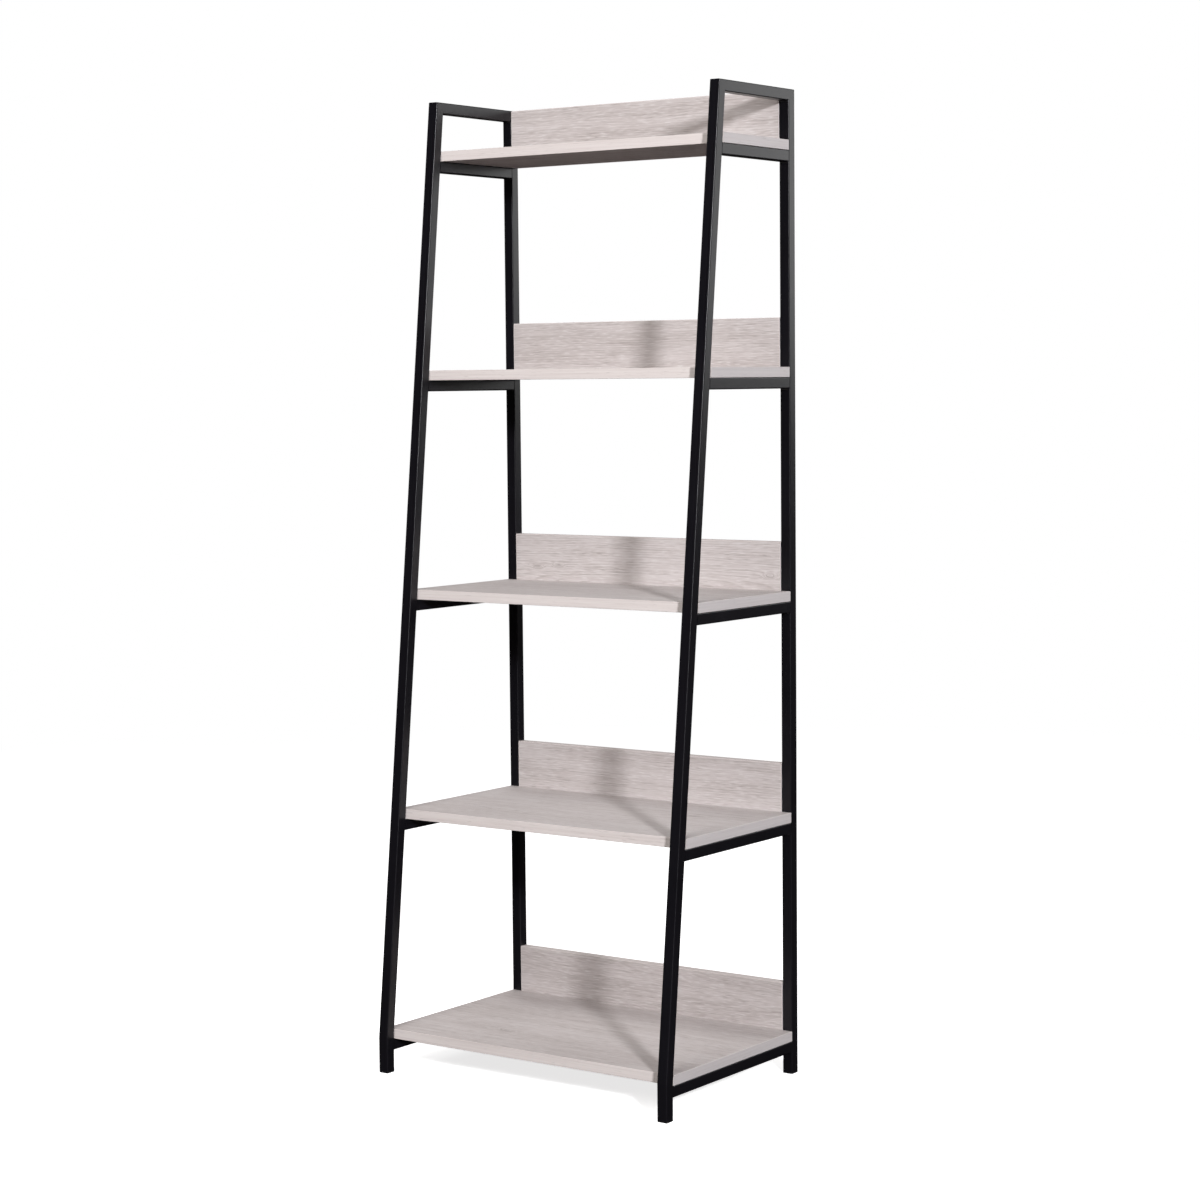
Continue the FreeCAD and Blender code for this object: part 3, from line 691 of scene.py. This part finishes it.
# %% [markdown]
# ## The lights
#
# Three soft lights in front do the work. The key is small, a long way off to the front right and
# well above the top shelf, so it throws the frame's shadow low across the boards and up the back
# panels, and puts the thin bright line on the rounded corners of the tube. The fill is closer,
# large and almost straight in front; it falls off downwards, which is why the lowest shelf is
# dimmer than the top one. A high light in front softens the shadows on the tops of the shelves.
#
# Three more stand behind and at the left, so that the far sides can be read too. The fill, the
# high light and the rear left one are kept out of reflections. Otherwise the boards, seen at a
# low angle, would show them as a haze.
#
# A lamp's watts say nothing about how bright a surface gets, because that depends on how far away
# it is. So each light is given the brightness that a white card would show at its aim, and the
# watts are worked out from the distance.

# %% Lights
NEUTRAL = (1.0, 1.0, 1.0)
COOL = (1.0, 1.0, 1.03)
WARM = (1.0, 0.99, 0.965)
FAINTLY_WARM = (1.0, 0.99, 0.975)


def softbox(name, bearing, aim_height, distance, height, size, brightness,
            tint=NEUTRAL, shine=True):
    """A soft light aimed at a height over the middle of the shelf's footprint.

    It stands `distance` away on the ground, at a `bearing` in degrees to the right of the front.
    With `shine` off it lights the shelf but isn't seen in reflections.
    """
    angle = math.radians(bearing)
    lamp = bpy.data.lights.new(name, "AREA")
    lamp.shape = "RECTANGLE"
    lamp.size, lamp.size_y = size
    aim = Vector((0.0, 0.0, aim_height))
    place = Vector((distance * math.sin(angle), -distance * math.cos(angle), height))
    reach = (place - aim).length
    lamp.energy = brightness * math.pi ** 2 * reach ** 2
    lamp.color = tint
    holder = bpy.data.objects.new(name, lamp)
    holder.location = place
    holder.rotation_mode = "QUATERNION"
    holder.rotation_quaternion = (aim - place).to_track_quat("-Z", "Y")
    holder.visible_glossy = shine
    bpy.context.scene.collection.objects.link(holder)
    print(f"light {name}: {lamp.energy:.0f} W, {reach:.2f} m away")


softbox("key", 50.7, 1.1, distance=8.0, height=3.2, size=(0.65, 0.65), brightness=0.84,
        tint=COOL)
softbox("fill", 12, 1.2, distance=3.8, height=2.7, size=(2.6, 1.8), brightness=0.37,
        tint=WARM, shine=False)
softbox("high", 5, 1.0, distance=6.0, height=8.5, size=(2.5, 2.5), brightness=0.22,
        tint=FAINTLY_WARM, shine=False)
softbox("rear left", 222, 1.0, distance=3.5, height=2.6, size=(2.5, 2.0), brightness=0.54,
        shine=False)
softbox("rear right", 150, 1.0, distance=4.0, height=2.2, size=(1.5, 2.0), brightness=0.15)
softbox("left rim", 262, 1.0, distance=4.0, height=2.0, size=(0.8, 1.8), brightness=0.08)

# %% [markdown]
# ## The camera
#
# The camera stands about five metres away at chest height, to the right of the shelf's front, and
# looks very slightly down with a short telephoto lens. It is placed by what it looks at, from
# which bearing, how far off and how steeply, since those are what one would set by hand.

# %% Camera
CAMERA_AIM = Vector((-0.073, 0.152, 0.842))
CAMERA_DISTANCE = 5.108
CAMERA_BEARING = math.radians(35.66)
CAMERA_TILT = math.radians(4.539)
CAMERA_ROLL = math.radians(-0.525)
SENSOR_WIDTH = 36.0
FOCAL_LENGTH = 83.2

lens = bpy.data.cameras.new("camera")
lens.sensor_width = SENSOR_WIDTH
lens.lens = FOCAL_LENGTH
camera = bpy.data.objects.new("camera", lens)
look = Vector((-math.sin(CAMERA_BEARING) * math.cos(CAMERA_TILT),
               math.cos(CAMERA_BEARING) * math.cos(CAMERA_TILT), -math.sin(CAMERA_TILT)))
camera.location = CAMERA_AIM - look * CAMERA_DISTANCE
camera.rotation_mode = "QUATERNION"
camera.rotation_quaternion = look.to_track_quat("-Z", "Y") @ Quaternion((0, 0, 1), CAMERA_ROLL)
bpy.context.scene.collection.objects.link(camera)
bpy.context.scene.camera = camera
bpy.context.scene.view_settings.view_transform = "Standard"
print(f"camera at {tuple(round(c, 3) for c in camera.location)}")
